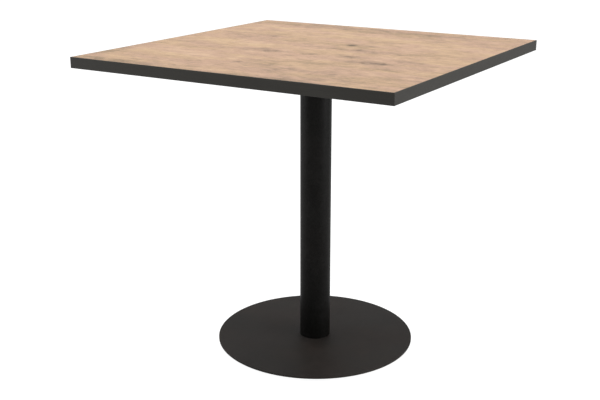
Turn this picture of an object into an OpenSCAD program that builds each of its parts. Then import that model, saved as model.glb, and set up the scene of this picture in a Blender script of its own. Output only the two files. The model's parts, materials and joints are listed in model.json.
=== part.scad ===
// Bistro table: a square board on a round steel column and a thin round foot plate.
// Millimetres. The origin is on the floor under the middle of the column, and +Z is up.
// -Y is the front, +X is the right, and the grain of the board runs along X.

/* [Tabletop] */
// Side of the square tabletop, over the edging
top_side = 800; // [600:10:900]
// Thickness of the finished board
top_t = 25; // [22:1:40]
// Thickness of the laminate on each face of the core
laminate_t = 0.8; // [0.5:0.1:1.2]
// Thickness of the edging strips
band_t = 2; // [1.5:0.5:3]
// Radius milled along the outer edges of the edging
band_round = 1; // [0.4:0.1:1.2]

/* [Column] */
// Height of the finished table
table_h = 750; // [680:5:1150]
// Outer diameter of the column tube
column_d = 76; // [60:1:90]
// Wall thickness of the column tube
column_wall = 2; // [1.5:0.5:3]
// Thickness of the threaded discs welded into both ends of the tube
insert_t = 10; // [8:1:14]

/* [Foot plate] */
// Diameter of the foot plate
base_d = 492; // [420:1:600]
// Thickness of the foot plate
base_t = 5; // [5:0.5:10]

/* [Support cross] */
// Length of the cross from tip to tip
cross_span = 380; // [320:10:500]
// Width of each arm
cross_arm_w = 50; // [40:5:70]
// Thickness of the plate that the cross is cut from
cross_t = 6; // [6:0.5:8]
// Diameter of the round middle of the cross
cross_hub_d = 120; // [100:5:150]

/* [Levelling glides] */
// Distance from the rim of the foot plate to the axis of each glide
glide_inset = 46; // [40:1:70]
// Diameter of each nylon pad
pad_d = 36; // [34:1:40]
// Height of each nylon pad
pad_h = 4.5; // [4.5:0.1:6]
// How far each glide screws out
glide_travel = 5; // [2.5:0.5:5]

/* [Hidden] */
$fn = 96;

// Colours of the materials
wood_decor = "#CFB198";
particle_board = "#C2A06E";
backing_grey = "#CFCBC4";
edging_grey = "#403E3B";
column_black = "#1F1E1D";
plate_black = "#383634";
bare_steel = "#9A9C9E";
zinc = "#B8BCC0";
nylon_black = "#232323";

// Gaps and overshoot
running_gap = 0.05; // radial, between a turning part and its seat
slip_gap = 0.1;     // radial, between parts that are pushed together
cut = 1;            // how far a cutting shape passes the face that it cuts

// M8 levelling glide and its weld nut
stud_d = 8;
stud_grip = 4.5;    // thread that stays in the nut when the glide is screwed right out
stud_tip = 0.8;
nut_flats = 14;
nut_h = 6.5;
nut_edge = 0.6;
spigot_d = 10.5;
spigot_h = 1;
collar_flats = 13;
collar_h = 3;
collar_edge = 0.3;
stud_head_d = 30;
pad_floor_t = 1.3;
pad_lip_t = 1;
pad_edge = 1;
recess_end_gap = 0.5;

// M10 bolts and washer
bolt_d = 10;
bolt_hole_d = 10.6;
bolt_edge = 1;
bolt_head_flats = 16;
bolt_head_h = 6.4;
base_bolt_len = 25;
washer_d = 30;
washer_t = 2.5;
cross_bolt_len = 20;
cross_bolt_head_d = 20;
socket_flats = 6;
socket_depth = 3.5;
head_sink = 0.2;    // how far the countersunk head lies below the face of the cross

// Wood screws, 4.5 x 20
screw_d = 4.4;
screw_len = 20;
screw_tip_len = 4;
screw_head_d = 8.6;
screw_head_h = 3;
screw_head_edge = 0.9;
screw_hole_d = 5.5;
screw_slot_w = 1;
screw_slot_len = 4.6;
screw_slot_depth = 1.8;
screw_pitch = 70;   // between the two screws of one arm

// Finish of cut edges
plate_edge = 0.6;
washer_edge = 0.3;
insert_edge = 1;

// Heights of the parts above the floor
collar_z = pad_h;
nut_z = collar_z + collar_h;
base_z = nut_z + nut_h;
column_z = base_z + base_t;
board_z = table_h - top_t;
cross_z = board_z - cross_t;
column_h = cross_z - column_z;
core_z = board_z + laminate_t;
core_h = top_t - 2 * laminate_t;

// Sizes that follow from the sizes above
core_side = top_side - 2 * band_t;
insert_d = column_d - 2 * column_wall - 2 * slip_gap;
stud_len = glide_travel + stud_grip;
stud_head_z = pad_floor_t;
stud_head_h = pad_h - pad_floor_t - pad_lip_t - slip_gap;
glide_xy = (base_d / 2 - glide_inset) / sqrt(2);
screw_radii = [
    cross_span / 2 - cross_arm_w / 2,
    cross_span / 2 - cross_arm_w / 2 - screw_pitch,
];

// ---- Shapes that repeat ----

// A disc on the XY plane with both rims bevelled
module bevelled_disc(d, h, bevel) {
    rotate_extrude()
        polygon([
            [0, 0], [d / 2 - bevel, 0], [d / 2, bevel],
            [d / 2, h - bevel], [d / 2 - bevel, h], [0, h],
        ]);
}

module hexagon(across_flats, h) {
    cylinder(d = across_flats / cos(30), h = h, $fn = 6);
}

// A hexagon head or nut, with its corners bevelled as if turned on a lathe
module bevelled_hexagon(across_flats, h, bevel) {
    intersection() {
        hexagon(across_flats, h);
        bevelled_disc(across_flats / cos(30), h, bevel);
    }
}

// An upright cylinder between two heights, for a stud or for the hole that is cut for one
module upright(d, from_z, to_z) {
    translate([0, 0, from_z])
        cylinder(d = d, h = to_z - from_z);
}

module ring(outer_d, inner_d, h) {
    difference() {
        cylinder(d = outer_d, h = h);
        upright(inner_d, -cut, h + cut);
    }
}

// A bar along X with half-round ends and bevelled edges
module rounded_bar(length, width, h, bevel) {
    straight = length - width;
    flat_half = width / 2 - bevel;
    rotate([90, 0, 90])
        linear_extrude(straight, center = true)
            polygon([
                [-flat_half, 0], [flat_half, 0], [width / 2, bevel], [width / 2, h - bevel],
                [flat_half, h], [-flat_half, h], [-width / 2, h - bevel], [-width / 2, bevel],
            ]);
    for (side = [-1, 1])
        translate([side * straight / 2, 0, 0])
            bevelled_disc(width, h, bevel);
}

// A rectangle in plan from y = 0 to y = depth, with its two far corners rounded
module far_rounded_rectangle(width, depth, corner) {
    translate([-width / 2, 0])
        square([width, depth - corner]);
    translate([-width / 2 + corner, 0])
        square([width - 2 * corner, depth]);
    for (side = [-1, 1])
        translate([side * (width / 2 - corner), depth - corner])
            circle(r = corner);
}

// Repeats its children at the two screw places of each arm of the cross
module at_screws() {
    for (angle = [0:90:270], radius = screw_radii)
        rotate(angle)
            translate([radius, 0, 0])
                children();
}

// Moves its children to the glide at one side (-1 left, 1 right) and one end (-1 front, 1 back)
module at_glide(side, end) {
    translate([side * glide_xy, end * glide_xy, 0])
        children();
}

module at_all_glides() {
    for (side = [-1, 1], end = [-1, 1])
        at_glide(side, end)
            children();
}

// ---- Tabletop ----

module board_layer(z, h) {
    translate([-core_side / 2, -core_side / 2, z])
        cube([core_side, core_side, h]);
}

// The pilot holes end just above the tips of the screws
module pilot_holes() {
    at_screws()
        upright(screw_d + 2 * running_gap, board_z - cut, cross_z + screw_len + cut);
}

module top_laminate() {
    color(wood_decor)
        board_layer(table_h - laminate_t, laminate_t);
}

module tabletop_core() {
    color(particle_board)
        difference() {
            board_layer(core_z, core_h);
            pilot_holes();
        }
}

module backing_laminate() {
    color(backing_grey)
        difference() {
            board_layer(board_z, laminate_t);
            pilot_holes();
        }
}

// A strip of edging along X: its inner face is at y = 0 and its outer edges are rounded
module edge_strip(length) {
    rotate([0, 0, 90])
        rotate([90, 0, 0])
            linear_extrude(length, center = true)
                translate([0, top_t / 2])
                    rotate(-90)
                        far_rounded_rectangle(top_t, band_t, band_round);
}

// Puts an edging strip on the side of the board that faces the given angle from +Y
module on_board_edge(angle) {
    rotate(angle)
        translate([0, core_side / 2, board_z])
            children();
}

// The left and right strips are as long as the core
module short_edge_band(angle) {
    color(edging_grey)
        on_board_edge(angle)
            edge_strip(core_side);
}

// The front and back strips overlap the ends of the other two, and round the corners of the board
module long_edge_band(angle) {
    color(edging_grey)
        on_board_edge(angle)
            intersection() {
                edge_strip(top_side);
                linear_extrude(top_t)
                    far_rounded_rectangle(top_side, band_t, band_round);
            }
}

// ---- Support cross and its fasteners ----

module support_cross() {
    color(plate_black)
        difference() {
            translate([0, 0, cross_z]) {
                for (angle = [0, 90])
                    rotate(angle)
                        rounded_bar(cross_span, cross_arm_w, cross_t, plate_edge);
                bevelled_disc(cross_hub_d, cross_t, plate_edge);
            }
            at_screws()
                upright(screw_hole_d, cross_z - cut, board_z + cut);
            upright(bolt_hole_d, cross_z - cut, board_z + cut);
            countersink();
        }
}

// A right-angled cone whose mouth is on the upper face of the cross
module countersink() {
    mouth_r = cross_bolt_head_d / 2 + head_sink + slip_gap;
    translate([0, 0, board_z - mouth_r])
        cylinder(r1 = 0, r2 = mouth_r + cut, h = mouth_r + cut);
}

module tabletop_screws() {
    color(zinc)
        at_screws()
            translate([0, 0, cross_z])
                wood_screw();
}

// A pan-head screw that points up, with the underside of its head at z = 0
module wood_screw() {
    difference() {
        translate([0, 0, -screw_head_h])
            bevelled_disc(screw_head_d, screw_head_h, screw_head_edge);
        for (angle = [0, 90])
            rotate(angle)
                translate([-screw_slot_len / 2, -screw_slot_w / 2, -screw_head_h - cut])
                    cube([screw_slot_len, screw_slot_w, screw_slot_depth + cut]);
    }
    cylinder(d = screw_d, h = screw_len - screw_tip_len);
    translate([0, 0, screw_len - screw_tip_len])
        cylinder(d1 = screw_d, d2 = 0, h = screw_tip_len);
}

// A countersunk bolt that points down, with a hexagon socket in its head
module cross_bolt() {
    head_h = (cross_bolt_head_d - bolt_d) / 2;
    head_z = board_z - head_sink;
    color(zinc)
        difference() {
            union() {
                translate([0, 0, head_z - head_h])
                    cylinder(d1 = bolt_d, d2 = cross_bolt_head_d, h = head_h);
                translate([0, 0, head_z - cross_bolt_len])
                    bevelled_disc(bolt_d, cross_bolt_len - socket_depth, bolt_edge);
            }
            translate([0, 0, head_z - socket_depth])
                hexagon(socket_flats, socket_depth + cut);
        }
}

// ---- Column ----

module column_tube() {
    color(column_black)
        translate([0, 0, column_z])
            ring(column_d, column_d - 2 * column_wall, column_h);
}

module column_insert(z) {
    color(bare_steel)
        difference() {
            translate([0, 0, z])
                bevelled_disc(insert_d, insert_t, insert_edge);
            upright(bolt_d + 2 * running_gap, z - cut, z + insert_t + cut);
        }
}

// ---- Foot plate and its bolt ----

module base_disc() {
    color(plate_black)
        difference() {
            translate([0, 0, base_z])
                bevelled_disc(base_d, base_t, plate_edge);
            upright(bolt_hole_d, base_z - cut, column_z + cut);
            at_all_glides()
                upright(spigot_d + 2 * slip_gap, base_z - cut, nut_z + stud_len + recess_end_gap);
        }
}

module base_washer() {
    color(zinc)
        difference() {
            translate([0, 0, base_z - washer_t])
                bevelled_disc(washer_d, washer_t, washer_edge);
            upright(bolt_hole_d, base_z - washer_t - cut, base_z + cut);
        }
}

module base_bolt() {
    head_top = base_z - washer_t;
    color(zinc) {
        translate([0, 0, head_top - bolt_head_h])
            bevelled_hexagon(bolt_head_flats, bolt_head_h, bolt_edge);
        translate([0, 0, head_top - bolt_edge])
            bevelled_disc(bolt_d, base_bolt_len + bolt_edge, bolt_edge);
    }
}

// ---- Levelling glides ----

module glide_nuts() {
    color(plate_black)
        at_all_glides()
            difference() {
                union() {
                    translate([0, 0, nut_z])
                        bevelled_hexagon(nut_flats, nut_h, nut_edge);
                    upright(spigot_d, base_z - nut_edge, base_z + spigot_h);
                }
                upright(stud_d + 2 * running_gap, nut_z - cut, base_z + spigot_h + cut);
            }
}

// The threaded end, the collar that a spanner turns, and the head that sits in the pad
module glide_stud(side, end) {
    color(zinc)
        at_glide(side, end) {
            translate([0, 0, stud_head_z])
                bevelled_disc(stud_d, nut_z + stud_len - stud_head_z, stud_tip);
            translate([0, 0, collar_z])
                bevelled_hexagon(collar_flats, collar_h, collar_edge);
            translate([0, 0, stud_head_z])
                cylinder(d = stud_head_d, h = stud_head_h);
        }
}

// The lip of the pad snaps over the head of the stud, which turns in it
module glide_pad(side, end) {
    color(nylon_black)
        at_glide(side, end)
            difference() {
                bevelled_disc(pad_d, pad_h, pad_edge);
                upright(stud_head_d + 2 * running_gap, pad_floor_t, pad_h - pad_lip_t);
                upright(stud_d + 2 * running_gap, pad_floor_t, pad_h + cut);
            }
}

top_laminate();
tabletop_core();
backing_laminate();
long_edge_band(180);  // edge_band_front
long_edge_band(0);  // edge_band_back
short_edge_band(90);  // edge_band_left
short_edge_band(-90);  // edge_band_right
support_cross();
tabletop_screws();
cross_bolt();
column_tube();
column_insert(cross_z - insert_t);  // column_top_insert
column_insert(column_z);  // column_foot_insert
base_disc();
base_bolt();
base_washer();
glide_nuts();
glide_stud(-1, -1);  // glide_stud_front_left
glide_stud(1, -1);  // glide_stud_front_right
glide_stud(-1, 1);  // glide_stud_back_left
glide_stud(1, 1);  // glide_stud_back_right
glide_pad(-1, -1);  // glide_pad_front_left
glide_pad(1, -1);  // glide_pad_front_right
glide_pad(-1, 1);  // glide_pad_back_left
glide_pad(1, 1);  // glide_pad_back_right
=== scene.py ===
"""Looks of the bistro table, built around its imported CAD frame.

Metres. +Z is up, -Y is the front of the board, and the printed grain runs along X.
"""

import json
import math

import bmesh
import bpy
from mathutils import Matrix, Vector


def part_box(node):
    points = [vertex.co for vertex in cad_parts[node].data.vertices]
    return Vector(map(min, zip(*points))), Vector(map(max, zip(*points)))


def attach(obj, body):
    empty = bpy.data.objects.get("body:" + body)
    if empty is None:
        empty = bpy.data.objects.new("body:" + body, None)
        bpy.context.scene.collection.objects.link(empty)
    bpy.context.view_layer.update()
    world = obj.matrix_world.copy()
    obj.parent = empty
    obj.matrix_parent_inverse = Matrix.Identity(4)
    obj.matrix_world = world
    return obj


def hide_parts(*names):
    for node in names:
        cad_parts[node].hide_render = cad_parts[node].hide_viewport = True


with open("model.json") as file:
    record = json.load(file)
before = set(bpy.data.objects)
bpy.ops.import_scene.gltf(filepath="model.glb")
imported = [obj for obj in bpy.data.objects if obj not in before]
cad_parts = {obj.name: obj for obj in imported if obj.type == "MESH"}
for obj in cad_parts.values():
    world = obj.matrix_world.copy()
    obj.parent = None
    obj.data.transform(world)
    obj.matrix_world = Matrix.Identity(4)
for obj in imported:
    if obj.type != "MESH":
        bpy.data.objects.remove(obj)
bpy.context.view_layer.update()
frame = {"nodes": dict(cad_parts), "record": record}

MM = 0.001
CORNERS = ("front_left", "front_right", "back_left", "back_right")

# ---- Sizes read from the frame ----

# Half the side of the board inside its edging
HALF_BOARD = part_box("tabletop_core")[1].x

# Heights above the floor: the table's top, the underside of four parts, and the top of a pad
TOP_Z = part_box("top_laminate")[1].z
BOARD_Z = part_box("backing_laminate")[0].z
CROSS_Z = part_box("support_cross")[0].z
PLATE_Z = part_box("base_disc")[0].z
NUT_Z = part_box("glide_nuts")[0].z
PAD_TOP_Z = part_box("glide_pad_front_left")[1].z


def middle(node):
    """The point on the floor under the middle of a CAD node."""
    low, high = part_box(node)
    return Vector(((low.x + high.x) / 2, (low.y + high.y) / 2, 0))


# ---- Node materials ----


def display(red, green, blue):
    """A colour given as it shows on a display, from 0 to 255, as linear light by the sRGB curve."""
    linear = []
    for value in (red, green, blue):
        share = value / 255
        linear.append(share / 12.92 if share <= 0.04045 else ((share + 0.055) / 1.055) ** 2.4)
    return (*linear, 1)


class Finish:
    """One procedural material. Each method adds nodes and returns what comes out of the last."""

    def __init__(self, slot):
        self.slot = slot
        self.material = bpy.data.materials.new(slot + "_finish")
        self.material.use_nodes = True
        self.tree = self.material.node_tree
        self.tree.nodes.clear()
        self.point = self.add("TexCoord").outputs["Object"]
        self.axes = self.add("SeparateXYZ", {"Vector": self.point}).outputs

    def add(self, kind, inputs=None, **settings):
        """A new node. An input that is a socket is linked, and any other is set."""
        made = self.tree.nodes.new("ShaderNode" + kind)
        for key, value in settings.items():
            setattr(made, key, value)
        for key, value in (inputs or {}).items():
            if isinstance(value, bpy.types.NodeSocket):
                self.tree.links.new(value, made.inputs[key])
            else:
                made.inputs[key].default_value = value
        return made

    def math(self, operation, *values):
        return self.add("Math", dict(enumerate(values)), operation=operation).outputs[0]

    def total(self, *values):
        result = values[0]
        for value in values[1:]:
            result = self.math("ADD", result, value)
        return result

    def product(self, *values):
        result = values[0]
        for value in values[1:]:
            result = self.math("MULTIPLY", result, value)
        return result

    def vector(self, operation, *values):
        return self.add("VectorMath", dict(enumerate(values)), operation=operation).outputs

    def joined(self, x, y, z):
        """A vector made of three values."""
        return self.add("CombineXYZ", {0: x, 1: y, 2: z}).outputs[0]

    def noise(self, lumps, detail=2.0, roughness=0.5, point=None, offset=0.0):
        """Cloudy noise from 0 to 1, with so many lumps to the metre along X, Y and Z."""
        scaled = self.vector("MULTIPLY_ADD", point or self.point, lumps, (offset,) * 3)[0]
        inputs = {"Vector": scaled, "Scale": 1.0, "Detail": detail, "Roughness": roughness}
        return self.add("TexNoise", inputs).outputs[0]

    def swing(self, lumps, reach, **options):
        """Noise that swings from -reach to +reach."""
        return self.math("MULTIPLY_ADD", self.noise(lumps, **options), 2 * reach, -reach)

    def fade(self, value, low, high, start=0.0, end=1.0):
        """A smooth step from start, where value is low, to end, where value is high."""
        inputs = {"Value": value, "From Min": low, "From Max": high, "To Min": start, "To Max": end}
        return self.add("MapRange", inputs, interpolation_type="SMOOTHSTEP").outputs[0]

    def ramp(self, value, stops):
        """Colours from (place, colour) stops, blended smoothly."""
        made = self.add("ValToRGB", {"Fac": value})
        made.color_ramp.interpolation = "EASE"
        elements = made.color_ramp.elements
        for element, (place, colour) in zip(elements, (stops[0], stops[-1])):
            element.position = place
            element.color = colour
        for place, colour in stops[1:-1]:
            elements.new(place).color = colour
        return made.outputs[0]

    def mix(self, share, first, second, blend="MIX"):
        """The first colour, with a share of the second mixed in."""
        made = self.add("Mix", {0: share, 6: first, 7: second}, data_type="RGBA", blend_type=blend)
        return made.outputs[2]

    def scaled(self, colour, factor):
        """A colour made lighter or darker by a factor."""
        vector = colour[:3] if isinstance(colour, tuple) else colour
        return self.add("VectorMath", {0: vector, "Scale": factor}, operation="SCALE").outputs[0]

    def finish(self, colour, roughness, relief, metallic=0.0, specular=0.5):
        """Ends the material. Relief is the height of the surface's texture, in metres."""
        bump = self.add("Bump", {"Height": relief, "Distance": 1.0, "Strength": 1.0})
        surface = self.add("BsdfPrincipled", {
            "Base Color": colour,
            "Roughness": roughness,
            "Metallic": metallic,
            "Specular IOR Level": specular,
            "Normal": bump.outputs[0],
        })
        output = self.add("OutputMaterial")
        self.tree.links.new(surface.outputs[0], output.inputs["Surface"])
        return self


# Knots of the printed grain: place as shares of the board's half side, size in metres and darkness
KNOTS = (
    (0.49, -0.34, 0.010, 0.50),
    (0.60, -0.31, 0.007, 0.50),
    (0.13, 0.21, 0.012, 0.50),
    (-0.11, -0.65, 0.007, 0.75),
    (-0.34, -0.91, 0.007, 0.70),
    (-0.62, 0.55, 0.009, 0.45),
    (0.78, 0.66, 0.007, 0.45),
)

# Soft stains of the print: place and half size as shares of the board's half side, and tone
STAINS = (
    (-0.22, -0.23, 0.20, 0.045, -0.20),
    (-0.62, -0.29, 0.18, 0.06, -0.10),
    (0.08, -0.23, 0.06, 0.04, -0.14),
    (0.33, -0.20, 0.10, 0.050, -0.16),
    (0.54, -0.33, 0.15, 0.075, -0.13),
    (0.72, -0.22, 0.10, 0.05, -0.12),
    (0.17, 0.22, 0.13, 0.05, -0.12),
    (0.24, 0.42, 0.20, 0.05, -0.12),
    (0.46, -0.48, 0.34, 0.03, -0.14),
    (0.05, -0.60, 0.16, 0.08, -0.10),
    (-0.50, 0.30, 0.26, 0.12, -0.08),
    (-0.30, 0.88, 0.90, 0.09, -0.16),
    (0.30, 0.80, 0.50, 0.09, -0.10),
    (0.10, 0.58, 0.30, 0.08, 0.10),
    (-0.60, 0.66, 0.30, 0.08, 0.09),
    (0.70, 0.42, 0.35, 0.12, 0.07),
    (-0.55, -0.02, 0.36, 0.10, 0.13),
    (-0.62, -0.55, 0.36, 0.10, 0.14),
    (0.25, -0.36, 0.14, 0.05, 0.10),
    (0.50, -0.78, 0.55, 0.14, -0.08),
    (-0.70, -0.98, 0.45, 0.06, -0.20),
    (0.30, -0.98, 0.35, 0.06, -0.19),
    (0.45, 0.05, 0.45, 0.08, -0.12),
    (-0.97, -0.70, 0.05, 0.30, -0.14),
)


def oval(surface, along, across, long_half, wide_half):
    """The distance from an oval's middle, which is 1 on the oval."""
    far_along = surface.product(along, 1 / long_half)
    far_across = surface.product(across, 1 / wide_half)
    return surface.vector("LENGTH", surface.joined(far_along, far_across, 0))["Value"]


def knot(wood, line, share_x, share_y, size):
    """The grain lines bent round one knot, and the tone of its core, rings, crack and tails."""
    along = wood.math("SUBTRACT", wood.axes[0], share_x * HALF_BOARD)
    across = wood.math("SUBTRACT", wood.axes[1], share_y * HALF_BOARD)

    # The offset gives each size of knot its own ragged outline
    rough = wood.swing((60, 110, 1), 0.6, detail=4, roughness=0.65, offset=size * 999)

    # The lines keep clear of a soft oval three times as long as the knot
    spread = wood.total(oval(wood, along, across, size * 3.4, size * 1.7), wood.product(rough, 0.35))
    near = wood.math("POWER", math.e, wood.product(spread, spread, -1))
    bent = wood.math("SUBTRACT", line, wood.product(near, across, 0.82))

    # A dark core with faint rings and a slanting crack
    reach = wood.total(oval(wood, along, across, size * 1.15, size * 0.75), rough)
    core = wood.fade(reach, 0.35, 1.15, 1, 0)
    rings = wood.product(core, wood.math("SINE", wood.product(reach, 15)), 0.07)
    askew = wood.total(across, wood.product(along, 0.5), wood.product(rough, size * 0.5))
    crack = wood.product(core, wood.fade(wood.math("ABSOLUTE", askew), 0, size * 0.09, 0.5, 0))

    # Tails that fade out along the grain
    tail = wood.total(oval(wood, along, across, size * 7, size * 1.3), wood.product(rough, 1.3))
    tails = wood.fade(tail, 0.1, 1.5, 0.34, 0)
    return bent, wood.total(wood.product(core, 0.5), rings, crack, tails)


def knotted_grain(wood):
    """The grain lines, which run along X and bend round the knots, and the tone of all the knots."""
    line = wood.total(
        wood.axes[1],
        wood.swing((1.3, 3.5, 1), 0.016, detail=1),
        wood.swing((8, 30, 1), 0.0022),
    )
    tones = []
    for share_x, share_y, size, darkness in KNOTS:
        line, tone = knot(wood, line, share_x, share_y, size)
        tones.append(wood.product(tone, darkness))
    return line, wood.total(*tones)


def growth_rings(wood, line):
    """The growth rings from 0 to 1 across each, and the bands of darker late wood at their ends."""
    rings_a_metre = 150
    figure = wood.noise((1.1, 3.6, 1), detail=1.5, offset=7.0)
    rings = wood.math("FRACT", wood.total(
        wood.product(line, rings_a_metre),
        wood.product(figure, 52),
        wood.swing((9, 40, 1), 0.35, offset=2.0),
    ))
    late_wood = wood.product(wood.fade(rings, 0.15, 0.85), wood.fade(rings, 0.88, 1.0, 1, 0))
    return rings, late_wood


def stained_tone(wood, line, flow):
    """The tone of all the stains, whose edges fray along the grain."""
    frayed = wood.swing((19, 52, 1), 1.15, detail=5, roughness=0.68, point=flow, offset=27.0)
    tones = []
    for share_x, share_y, long_half, wide_half, tone in STAINS:
        along = wood.math("SUBTRACT", wood.axes[0], share_x * HALF_BOARD)
        across = wood.math("SUBTRACT", line, share_y * HALF_BOARD)
        spread = oval(wood, along, across, long_half * HALF_BOARD, wide_half * HALF_BOARD)
        inside = wood.fade(wood.total(spread, frayed), 0.25, 1.45, 1, 0)
        tones.append(wood.product(inside, tone))
    return wood.total(*tones)


def wood_decor():
    """A light oak print with soft streaks, knots and pores, under a satin laminate."""
    wood = Finish("wood_decor")
    line, knots = knotted_grain(wood)
    rings, late_wood = growth_rings(wood, line)
    ring_strength = wood.fade(wood.noise((2.2, 9, 1), detail=3, offset=3.0), 0.35, 0.7, 0.2, 1.0)

    # Everything that is read at this point follows the bent grain
    flow = wood.joined(wood.axes[0], line, 0)
    pores = wood.fade(wood.noise((44, 1300, 1), detail=2, roughness=0.6, point=flow), 0.55, 0.66)
    pores = wood.product(pores, wood.fade(rings, 0.1, 0.7, 1.0, 0.25))
    fibres = wood.swing((30, 900, 1), 1.0, detail=5, roughness=0.8, point=flow, offset=41.0)

    # Stains, then mottling from broad to fine, and then the lines, knots and pores of the grain
    mean_tone = 0.57
    tone = wood.total(
        mean_tone,
        wood.product(stained_tone(wood, line, flow), 0.86),
        wood.swing((2.2, 9, 1), 0.06, detail=2, point=flow, offset=19.0),
        wood.swing((17, 34, 1), 0.48, detail=5, roughness=0.78, point=flow, offset=5.0),
        wood.swing((44, 110, 1), 0.24, detail=4, roughness=0.7, point=flow, offset=15.0),
        wood.product(fibres, 0.18),
        wood.product(late_wood, ring_strength, -0.13),
        wood.product(knots, -0.44),
        wood.product(pores, -0.20),
    )
    colour = wood.ramp(tone, (
        (0.0, display(72, 56, 42)),
        (0.18, display(116, 98, 80)),
        (0.34, display(160, 136, 112)),
        (0.52, display(188, 157, 131)),
        (0.72, display(205, 176, 144)),
        (1.0, display(229, 203, 171)),
    ))
    rosy = wood.mix(1.0, colour, display(252, 246, 247), blend="MULTIPLY")
    straw = wood.mix(1.0, colour, display(253, 250, 240), blend="MULTIPLY")
    hue = wood.fade(wood.noise((8, 18, 1), detail=4, offset=31.0), 0.38, 0.62)
    roughness = wood.total(0.44, wood.product(pores, 0.2), wood.swing((40, 40, 1), 0.04))
    relief = wood.total(
        wood.product(pores, -0.04 * MM),
        wood.product(late_wood, 0.008 * MM),
        wood.product(fibres, 0.004 * MM),
    )
    return wood.finish(wood.mix(hue, rosy, straw), roughness, relief, specular=0.2)


def particle_board():
    """Pressed wood chips, which show only inside the screw holes."""
    board = Finish("particle_board")
    cloud = board.noise((260, 150, 420), detail=4, roughness=0.65)
    chips = board.add("TexVoronoi", {
        "Vector": board.vector("MULTIPLY", board.point, (330, 210, 900))[0],
        "Scale": 1.0,
    }).outputs["Color"]
    grey = board.vector("DOT_PRODUCT", chips, (0.4, 0.3, 0.3))["Value"]
    tone = board.total(board.product(grey, 0.6), board.product(cloud, 0.4))
    colour = board.ramp(tone, (
        (0.1, display(128, 96, 62)), (0.5, display(194, 160, 110)), (0.9, display(222, 194, 150)),
    ))
    relief = board.product(tone, 0.25 * MM)
    return board.finish(colour, board.fade(tone, 0, 1, 0.95, 0.75), relief, specular=0.2)


def backing_grey():
    """A plain warm grey balancing laminate with a fine pearl texture."""
    sheet = Finish("backing_grey")
    cloud = sheet.swing((5, 5, 5), 0.03, detail=3)
    fibre = sheet.swing((420, 900, 400), 0.035, detail=3)
    colour = sheet.scaled(display(196, 192, 185), sheet.total(1, cloud, fibre))
    relief = sheet.swing((1300, 1300, 1300), 0.012 * MM, detail=2)
    return sheet.finish(colour, sheet.total(0.55, cloud), relief, specular=0.3)


def edging_grey():
    """Dark plastic edging: fine grain along the strip, and a painted highlight on its rounded edges, which
    are also made rougher.
    """
    strip = Finish("edging_grey")
    middle_z = (TOP_Z + BOARD_Z) / 2
    half = (TOP_Z - BOARD_Z) / 2
    from_middle = strip.math("ABSOLUTE", strip.math("SUBTRACT", strip.axes[2], middle_z))
    rounded_edges = strip.fade(from_middle, half - 1.0 * MM, half - 0.2 * MM)
    # Painted highlight: the rounded edges within a millimetre of the faces are painted paler in patches
    # and made a little rougher
    edge_highlight = strip.product(rounded_edges, strip.fade(strip.noise((30, 30, 60), detail=4), 0.35, 0.65, 0.4, 1))
    streaks = strip.swing((16, 16, 420), 0.20, detail=4, roughness=0.65)
    cloud = strip.swing((7, 7, 20), 0.16, detail=3)
    tone = strip.total(1, streaks, cloud, strip.product(edge_highlight, 0.6))
    colour = strip.scaled(display(53, 51, 47), tone)
    relief = strip.total(
        strip.swing((900, 900, 900), 0.010 * MM, detail=2),
        strip.swing((20, 20, 700), 0.006 * MM),
    )
    roughness = strip.total(0.46, strip.product(edge_highlight, 0.12), strip.swing((60, 60, 60), 0.04))
    return strip.finish(colour, roughness, relief, specular=0.3)


def powder_coat(slot, colour, grain, grain_height, roughness, specular):
    """Black powder coat: a skin of fine lumps, painted paler on their tops and darker in their hollows as
    painted highlight and shade, with cloudy tone and a few wiped smudges.
    """
    powder = Finish(slot)
    lumps = powder.noise((grain,) * 3, detail=3, roughness=0.6)
    # Painted highlight and shade: the lumps' tops are painted paler and the hollows between them darker,
    # following the relief
    painted_relief_light = powder.fade(lumps, 0.38, 0.64, -0.30, 0.45)
    cloud = powder.swing((7, 7, 7), 0.30, detail=3)
    wiped = powder.noise((20, 20, 20), detail=5, roughness=0.7, offset=4.0)
    smudge = powder.fade(wiped, 0.46, 0.70, 0, 0.28)
    tone = powder.total(1, painted_relief_light, cloud, smudge)
    tint = powder.mix(
        powder.fade(powder.noise((6, 6, 6), detail=2, offset=23.0), 0.35, 0.65),
        display(255, 246, 239),
        display(243, 250, 249),
    )
    shade = powder.mix(1.0, powder.scaled(colour, tone), tint, blend="MULTIPLY")
    orange_peel = powder.swing((90, 90, 90), 0.02 * MM, detail=1)
    relief = powder.total(powder.product(lumps, grain_height), orange_peel)
    dull = powder.total(roughness, powder.product(cloud, 0.2), powder.product(smudge, 0.3))
    return powder.finish(shade, dull, relief, specular=powder.product(tone, specular))


def turned_steel():
    """Plain steel from the lathe, with fine rings about the part's axis and a film of oil."""
    steel = Finish("bare_steel")
    across = steel.vector("MULTIPLY", steel.point, (1, 1, 0))[0]
    radius = steel.vector("LENGTH", across)["Value"]
    rings = steel.noise((2600, 1, 1), detail=2, point=steel.joined(radius, 0, 0))
    film = steel.noise((60, 60, 60), detail=4)
    colour = steel.mix(film, display(150, 150, 150), display(172, 168, 160))
    roughness = steel.total(0.28, steel.product(rings, 0.18), steel.product(film, 0.08))
    return steel.finish(colour, roughness, steel.product(rings, 0.01 * MM), metallic=1.0)


def zinc_steel():
    """Zinc plate: a cool grey metal with a faint blue and straw bloom, and duller high spots."""
    zinc = Finish("zinc_steel")
    bloom = zinc.noise((140, 140, 140), detail=3)
    crystals = zinc.noise((1900, 1900, 1900), detail=2, offset=9.0)
    colour = zinc.ramp(bloom, (
        (0.35, display(176, 186, 198)), (0.5, display(190, 193, 196)), (0.65, display(202, 198, 184)),
    ))
    colour = zinc.scaled(colour, zinc.fade(crystals, 0.3, 0.7, 0.9, 1.06))
    roughness = zinc.total(0.26, zinc.product(crystals, 0.16))
    return zinc.finish(colour, roughness, zinc.product(crystals, 0.01 * MM), metallic=1.0)


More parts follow.
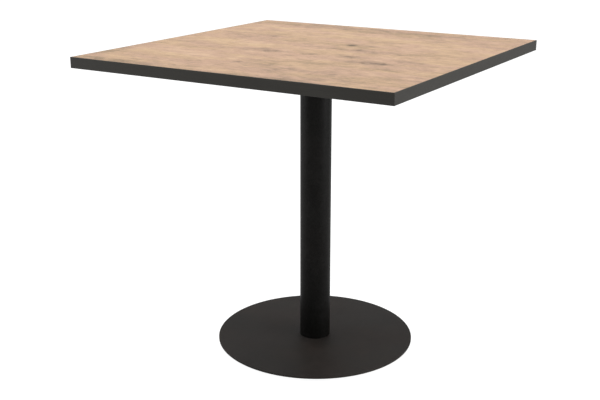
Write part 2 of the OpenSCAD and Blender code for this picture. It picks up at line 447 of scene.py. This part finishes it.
def nylon_black():
    """Moulded nylon with a spark-eroded texture, scuffed pale where it meets the floor."""
    nylon = Finish("nylon_black")
    grain = nylon.noise((1400, 1400, 1400), detail=3)
    scuff = nylon.product(
        nylon.fade(nylon.axes[2], 0.0, 1.4 * MM, 1, 0),
        nylon.fade(nylon.noise((160, 160, 300), detail=4, offset=2.0), 0.40, 0.62),
    )
    colour = nylon.mix(nylon.product(scuff, 0.5), display(35, 35, 35), display(112, 110, 106))
    colour = nylon.scaled(colour, nylon.fade(grain, 0.2, 0.8, 0.85, 1.15))
    relief = nylon.product(grain, 0.03 * MM)
    return nylon.finish(colour, nylon.total(0.42, nylon.product(scuff, 0.3)), relief, specular=0.4)


FINISHES = {finish.slot: finish.material for finish in (
    wood_decor(),
    particle_board(),
    backing_grey(),
    edging_grey(),
    # The column's colour is darker than black paint really is: painted shade, standing in for dark
    # surroundings in front of the column
    powder_coat(
        "column_black", display(12, 10.5, 9),
        grain=700, grain_height=0.05 * MM, roughness=0.42, specular=0.14,
    ),
    powder_coat(
        "plate_black", display(39, 34, 31.5),
        grain=900, grain_height=0.09 * MM, roughness=0.60, specular=0.27,
    ),
    turned_steel(),
    zinc_steel(),
    nylon_black(),
)}


def apply_finish(piece, slot):
    """Gives a piece the finish of one of the record's material slots, in place of what it has."""
    piece.data.materials.clear()
    piece.data.materials.append(FINISHES[slot])


# ---- Turned meshes ----


# Steps along an outline, for one chamfer and for one turn of a thread
CHAMFER_STEPS = 6
STEPS_A_TURN = 10

# A hexagon's chamfer leaves a round face, whose width is this share of the width across flats
CHAMFER_ANGLE = math.radians(30)
FACE_SHARE = 0.95

# Creases sharper than this are drawn as edges, so a chamfer is shaded softly
SHARP_ANGLE = math.radians(32)


def turned(name, outline, segments=72):
    """A closed solid about the Z axis, from an outline that runs up its outside.

    A point of the outline is (radius, height) or (radius, height, shape), where
    shape(radius, height, angle) says how far the surface reaches at that angle.
    An outline that leaves the axis free ends where it starts, as a nut's does.
    """
    mesh = bmesh.new()
    rings = []
    for radius, height, *shape in outline:
        if radius == 0:
            rings.append([mesh.verts.new((0, 0, height))])
            continue
        ring = []
        for step in range(segments):
            angle = math.tau * step / segments
            reach = shape[0](radius, height, angle) if shape else radius
            ring.append(mesh.verts.new((reach * math.cos(angle), reach * math.sin(angle), height)))
        rings.append(ring)
    if outline[0][0] > 0:
        rings.append(rings[0])
    for below, above in zip(rings, rings[1:]):
        for step in range(segments):
            after = (step + 1) % segments
            corners = (
                below[step % len(below)], below[after % len(below)],
                above[after % len(above)], above[step % len(above)],
            )
            mesh.faces.new(tuple(dict.fromkeys(corners)))
    data = bpy.data.meshes.new(name)
    mesh.to_mesh(data)
    mesh.free()
    data.shade_smooth()
    data.set_sharp_from_angle(angle=SHARP_ANGLE)
    return data


def hexagon(across_flats):
    """The shape of a hexagon whose corners are cut back to the outline's radius."""
    def reach(radius, height, angle):
        from_flat = angle % (math.pi / 3) - math.pi / 6
        return min(radius, across_flats / 2 / math.cos(from_flat))
    return reach


def thread(major_radius, pitch):
    """The shape of a right-hand screw thread, held inside the outline's radius."""
    depth = 0.58 * pitch
    flank = 1.25  # above 1, so that the crest is flat

    def reach(radius, height, angle):
        turn = (height / pitch - angle / math.tau) % 1
        groove = min(1, flank * abs(2 * turn - 1))
        return min(radius, major_radius - depth * (1 - groove))
    return reach


def cross_slot(wing_width):
    """The shape of a driver's cross: four wings that end at the outline's radius."""
    def reach(radius, height, angle):
        from_wing = (angle + math.pi / 4) % (math.pi / 2) - math.pi / 4
        return min(radius, wing_width / 2 / max(abs(math.sin(from_wing)), wing_width / 2 / radius))
    return reach


def span(start, end, shape, steps):
    """Points of an outline from start to end, all with one shape."""
    points = []
    for step in range(steps + 1):
        share = step / steps
        radius = start[0] + (end[0] - start[0]) * share
        height = start[1] + (end[1] - start[1]) * share
        points.append((radius, height, shape))
    return points


def rounded(centre_radius, centre_height, radius, from_deg, to_deg, steps=5):
    """Points of an outline along an arc, with 0 degrees pointing away from the axis and 90 up."""
    points = []
    for step in range(steps + 1):
        angle = math.radians(from_deg + (to_deg - from_deg) * step / steps)
        points.append((centre_radius + radius * math.cos(angle), centre_height + radius * math.sin(angle)))
    return points


def hexagon_end(across_flats, face_z, inward):
    """Outline of a hexagon's chamfered end, from its face to its full corners.

    inward is 1 where the hexagon lies above its face, and -1 where it lies below.
    """
    corner = across_flats / math.sqrt(3)
    face = across_flats * FACE_SHARE / 2
    chamfer = (corner - face) * math.tan(CHAMFER_ANGLE)
    full = (corner, face_z + inward * chamfer)
    return span((face, face_z), full, hexagon(across_flats), CHAMFER_STEPS)


def hexagon_body(across_flats, low, high):
    """Outline of a hexagon head or collar from low to high."""
    return [
        *hexagon_end(across_flats, low, 1),
        *reversed(hexagon_end(across_flats, high, -1)),
    ]


def threaded_end(radius, pitch, low, high):
    """Outline of a threaded shank from low to high, with a tip chamfered to below the thread."""
    shape = thread(radius, pitch)
    tip = 0.65 * pitch
    turns = (high - low) / pitch
    return [
        *span((radius, low), (radius, high - tip), shape, math.ceil(turns * STEPS_A_TURN)),
        *span((radius, high - tip), (radius - tip, high), shape, CHAMFER_STEPS)[1:],
        (0, high),
    ]


# ---- Pieces that stand for plain CAD solids ----


# M8 levelling glide
STUD_RADIUS = 4 * MM
STUD_PITCH = 1.25 * MM
NECK_RADIUS = 3.9 * MM
STUD_HEAD_EDGE = 0.3 * MM
HEAD_GAP = 0.1 * MM  # between the stud's head and the pad's lip
TURNING_GAP = 0.05 * MM
COLLAR_FLATS = 13 * MM
PAD_LIP = 1 * MM
PAD_EDGE = 1 * MM
PAD_NECK_EDGE = 0.3 * MM

# Round mark that the mould leaves below the pad
MARK_DEPTH = 0.4 * MM
MARK_RADIUS = 1.5 * MM
MARK_RIM = 1.8 * MM
MARK_EDGE = 0.1 * MM

# Weld nut: its spigot in the foot plate, and its bead of weld
SPIGOT_RADIUS = 5.25 * MM
BEAD_HEIGHT = 2.2 * MM
BEAD_REACH = 0.85 * BEAD_HEIGHT
BEAD_STEPS = 6

# M10 bolt
BOLT_RADIUS = 5 * MM
BOLT_PITCH = 1.5 * MM
WASHER_FACE_HEIGHT = 0.4 * MM
WASHER_FACE_SHARE = 0.94

# 4.5 mm wood screw
SCREW_HEAD_RADIUS = 4.3 * MM
SCREW_HEAD_DOME = 1.5 * MM
SCREW_HEAD_EDGE = 0.2 * MM
SCREW_RADIUS = 2.2 * MM
SCREW_PITCH = 1.8 * MM
SCREW_STEPS = 90
SCREW_TIP = 4 * MM
SCREW_TIP_STEPS = 24
SCREW_SPACING = 70 * MM

# Cross slot of the wood screw, which narrows towards its bottom
SLOT_WIDTH = 1 * MM
SLOT_DEPTH = 1.8 * MM
SLOT_BOTTOM_REACH = 1.2 * MM
SLOT_REACH = 2.3 * MM
SLOT_RIM = 2.7 * MM


def place(name, data, slot, body, stands_for, spot=(0, 0, 0)):
    """Makes a piece from a mesh, with the finish of a slot. It rides on a body, in place of a CAD node."""
    piece = bpy.data.objects.new(name, data)
    bpy.context.scene.collection.objects.link(piece)
    piece.location = spot
    apply_finish(piece, slot)
    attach(piece, body)
    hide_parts(stands_for)


def glide_stud_mesh(stud):
    """M8 stud: a flat round head in the pad, a hexagon collar for a spanner, and the thread."""
    low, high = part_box(stud)
    edge = STUD_HEAD_EDGE
    rim = (high.x - low.x) / 2 - edge
    head_top = PAD_TOP_Z - PAD_LIP - HEAD_GAP
    return turned("levelling_stud", [
        (0, low.z),
        *rounded(rim, low.z + edge, edge, -90, 0),
        *rounded(rim, head_top - edge, edge, 0, 90),
        (NECK_RADIUS, head_top),
        (NECK_RADIUS, PAD_TOP_Z),
        *hexagon_body(COLLAR_FLATS, PAD_TOP_Z, NUT_Z),
        (NECK_RADIUS, NUT_Z),
        *threaded_end(STUD_RADIUS, STUD_PITCH, NUT_Z, high.z),
    ])


def glide_pad_mesh(pad, stud):
    """Nylon foot: a rounded disc whose lip holds the stud's head, with a moulding mark below."""
    low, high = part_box(pad)
    stud_low, stud_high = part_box(stud)
    rim = (high.x - low.x) / 2 - PAD_EDGE
    recess = (stud_high.x - stud_low.x) / 2 + TURNING_GAP
    neck = STUD_RADIUS + TURNING_GAP
    lip_z = high.z - PAD_LIP
    mark_z = low.z + MARK_DEPTH
    return turned("levelling_pad", [
        (0, mark_z),
        *rounded(MARK_RADIUS, mark_z - MARK_EDGE, MARK_EDGE, 90, 0, steps=3),
        (MARK_RIM, low.z),
        *rounded(rim, low.z + PAD_EDGE, PAD_EDGE, -90, 0),
        *rounded(rim, high.z - PAD_EDGE, PAD_EDGE, 0, 90),
        *rounded(neck + PAD_NECK_EDGE, high.z - PAD_NECK_EDGE, PAD_NECK_EDGE, 90, 180, steps=3),
        (neck, lip_z),
        (recess, lip_z),
        (recess, stud_low.z),
        (0, stud_low.z),
    ], segments=96)


def weld_nut_mesh():
    """M8 weld nut, with a rippled bead of weld where it meets the foot plate."""
    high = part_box("glide_nuts")[1]
    flats = 2 * (high.y - middle("glide_pad_back_left").y)
    corner = flats / math.sqrt(3)
    bore = STUD_RADIUS + TURNING_GAP
    bead_z = PLATE_Z - BEAD_HEIGHT
    nut_shape = hexagon(flats)

    # The bead swells out early, with forty slanting ripples and five slow waves round the nut
    def weld(radius, height, angle):
        share = max(0, (height - bead_z) / BEAD_HEIGHT) ** 0.55
        ripple = 0.16 * MM * math.sin(angle * 40 + 9 * share)
        wave = 0.22 * MM * math.sin(angle * 5)
        return nut_shape(radius, height, angle) + share * (BEAD_REACH + ripple + wave)

    return turned("weld_nut", [
        (bore, NUT_Z),
        *hexagon_end(flats, NUT_Z, 1),
        (corner, bead_z, nut_shape),
        *span((corner, bead_z), (corner, PLATE_Z), weld, BEAD_STEPS)[1:],
        (SPIGOT_RADIUS, PLATE_Z),
        (SPIGOT_RADIUS, high.z),
        (bore, high.z),
    ], segments=144)


def base_bolt_mesh():
    """M10 hexagon bolt whose head is below, with a washer face above the head."""
    low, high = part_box("base_bolt")
    washer_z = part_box("base_washer")[0].z
    head_top = washer_z - WASHER_FACE_HEIGHT
    flats = high.y - low.y
    face = flats * WASHER_FACE_SHARE / 2
    return turned("hexagon_bolt", [
        (0, low.z),
        (face * 0.98, low.z),  # keeps the soft shading of the chamfer off the flat face
        *hexagon_body(flats, low.z, head_top),
        (face, head_top),
        (face, washer_z),
        (BOLT_RADIUS, washer_z),
        *threaded_end(BOLT_RADIUS, BOLT_PITCH, washer_z, high.z),
    ])


def wood_screw_mesh():
    """Pan-head wood screw that points up, with a cross slot, a coarse thread and a point."""
    low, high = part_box("tabletop_screws")
    slot = cross_slot(SLOT_WIDTH)
    slot_z = low.z + SLOT_DEPTH
    dome = SCREW_HEAD_DOME
    edge = SCREW_HEAD_EDGE
    shape = thread(SCREW_RADIUS, SCREW_PITCH)
    tip_z = high.z - SCREW_TIP
    point = (SCREW_RADIUS * 0.1, high.z - 0.1 * MM)
    return turned("pan_head_screw", [
        (0, slot_z),
        (SLOT_BOTTOM_REACH, slot_z, slot),
        (SLOT_REACH, low.z, slot),
        (SLOT_RIM, low.z),
        *rounded(SCREW_HEAD_RADIUS - dome, low.z + dome, dome, -90, 0, steps=8),
        *rounded(SCREW_HEAD_RADIUS - edge, CROSS_Z - edge, edge, 0, 90, steps=2),
        (SCREW_RADIUS, CROSS_Z),
        *span((SCREW_RADIUS, CROSS_Z), (SCREW_RADIUS, tip_z), shape, SCREW_STEPS),
        *span((SCREW_RADIUS, tip_z), point, shape, SCREW_TIP_STEPS)[1:],
        (0, high.z),
    ], segments=48)


def copies(data, spots):
    """Turns a mesh into one that holds a copy of itself at each spot."""
    mesh = bmesh.new()
    for spot in spots:
        first = len(mesh.verts)
        mesh.from_mesh(data)
        mesh.verts.ensure_lookup_table()
        bmesh.ops.translate(mesh, verts=mesh.verts[first:], vec=spot)
    mesh.to_mesh(data)
    mesh.free()
    return data


def screw_spots():
    """The places of the screws, two on each arm of the cross."""
    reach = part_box("tabletop_screws")[1].x - SCREW_HEAD_RADIUS
    spots = []
    for radius in (reach, reach - SCREW_SPACING):
        for turn in range(4):
            angle = turn * math.pi / 2
            spots.append(Vector((radius * math.cos(angle), radius * math.sin(angle), 0)))
    return spots


def build_glide(corner):
    """The stud and the pad of the glide at one corner, each on its own body."""
    stud, pad = "glide_stud_" + corner, "glide_pad_" + corner
    spot = middle(pad)
    place("stud_" + corner, glide_stud_mesh(stud), "zinc_steel", "stud_" + corner, stud, spot)
    place("pad_" + corner, glide_pad_mesh(pad, stud), "nylon_black", "pad_" + corner, pad, spot)


def build_hardware():
    """Replaces the plain CAD fasteners and glides with threaded, chamfered and rounded ones."""
    for corner in CORNERS:
        build_glide(corner)
    glide_spots = [middle("glide_pad_" + corner) for corner in CORNERS]
    place("weld_nuts", copies(weld_nut_mesh(), glide_spots), "plate_black", "table", "glide_nuts")
    place("hexagon_bolt", base_bolt_mesh(), "zinc_steel", "table", "base_bolt")
    screws = copies(wood_screw_mesh(), screw_spots())
    place("pan_head_screws", screws, "zinc_steel", "table", "tabletop_screws")


def finish_frame():
    """Gives every CAD node its slot's finish."""
    for part in frame["record"]["subparts"]:
        apply_finish(frame["nodes"][part["node"]], part["material_slot"])


# ---- Studio ----


# The floor lies a hair below the pads, so that no two surfaces share a plane
FLOOR_GAP = 0.2 * MM
FLOOR_REACH = 60

# How brightly the floor and the world glow: on the table, and as the camera sees them
FLOOR_GLOW = (0.34, 0.97)
WORLD_GLOW = (0.55, 1.0)


def build_floor():
    """A plain white floor, seen from above only, so that the underside can be looked at."""
    mesh = bmesh.new()
    bmesh.ops.create_grid(mesh, x_segments=1, y_segments=1, size=FLOOR_REACH)
    data = bpy.data.meshes.new("floor")
    mesh.to_mesh(data)
    mesh.free()
    floor = bpy.data.objects.new("floor", data)
    floor.location.z = -FLOOR_GAP
    bpy.context.scene.collection.objects.link(floor)
    paint = Finish("floor")
    matt = paint.add("BsdfDiffuse", {"Color": (0.28, 0.28, 0.28, 1)}).outputs[0]
    path = paint.add("LightPath").outputs["Is Camera Ray"]
    glow = paint.add("Emission", {"Strength": paint.fade(path, 0, 1, *FLOOR_GLOW)}).outputs[0]
    lit = paint.add("AddShader", {0: matt, 1: glow}).outputs[0]
    clear = paint.add("BsdfTransparent").outputs[0]
    below = paint.add("NewGeometry").outputs["Backfacing"]
    both = paint.add("MixShader", {0: below, 1: lit, 2: clear}).outputs[0]
    output = paint.add("OutputMaterial")
    paint.tree.links.new(both, output.inputs["Surface"])
    data.materials.append(paint.material)


def build_world():
    """White to the camera, and a softer even light on the table."""
    world = bpy.data.worlds.new("studio")
    bpy.context.scene.world = world
    world.use_nodes = True
    nodes, links = world.node_tree.nodes, world.node_tree.links
    nodes.clear()
    path = nodes.new("ShaderNodeLightPath")
    strength = nodes.new("ShaderNodeMapRange")
    strength.inputs["To Min"].default_value = WORLD_GLOW[0]
    strength.inputs["To Max"].default_value = WORLD_GLOW[1]
    links.new(path.outputs["Is Camera Ray"], strength.inputs["Value"])
    background = nodes.new("ShaderNodeBackground")
    links.new(strength.outputs[0], background.inputs["Strength"])
    background.inputs["Color"].default_value = (1, 1, 1, 1)
    output = nodes.new("ShaderNodeOutputWorld")
    links.new(background.outputs[0], output.inputs["Surface"])


def softbox(name, place_at, aim, size, watts):
    """A rectangular area light that the camera doesn't see."""
    light = bpy.data.lights.new(name, "AREA")
    light.shape = "RECTANGLE"
    light.size, light.size_y = size
    light.energy = watts
    lamp = bpy.data.objects.new(name, light)
    bpy.context.scene.collection.objects.link(lamp)
    lamp.location = place_at
    lamp.rotation_euler = (Vector(aim) - Vector(place_at)).to_track_quat("-Z", "Y").to_euler()
    lamp.visible_camera = False


def build_lights():
    """Soft light from above, with a strong side light from the right and a weak one from the left."""
    floor_middle = (0, 0, 0)
    table_middle = (0, 0, TOP_Z / 2)
    softbox("overhead", place_at=(-0.3, 0.1, 3.4), aim=floor_middle, size=(3.2, 3.2), watts=75)
    softbox("right", place_at=(3.2, 0.6, 1.3), aim=table_middle, size=(1.6, 2.2), watts=45)
    softbox("left", place_at=(-3.0, -1.6, 0.9), aim=table_middle, size=(1.4, 2.2), watts=17)


def build_camera():
    """The photographer's view, from the front right and a little above the board.

    The angles, and the distances in table heights, are fitted to the board's corners in the photo.
    """
    data = bpy.data.cameras.new("camera")
    data.sensor_width = 36
    data.lens = 58.47
    camera = bpy.data.objects.new("camera", data)
    bpy.context.scene.collection.objects.link(camera)
    bearing = math.radians(30.4)
    heading = math.radians(31.36)
    downward = math.radians(17.27)
    distance = 3.06 * TOP_Z
    height = 1.4521 * TOP_Z
    camera.location = (distance * math.sin(bearing), -distance * math.cos(bearing), height)
    camera.rotation_euler = (math.pi / 2 - downward, 0, heading)
    bpy.context.scene.camera = camera


finish_frame()
build_hardware()
build_floor()
build_world()
build_lights()
build_camera()
bpy.context.scene.view_settings.view_transform = "Standard"
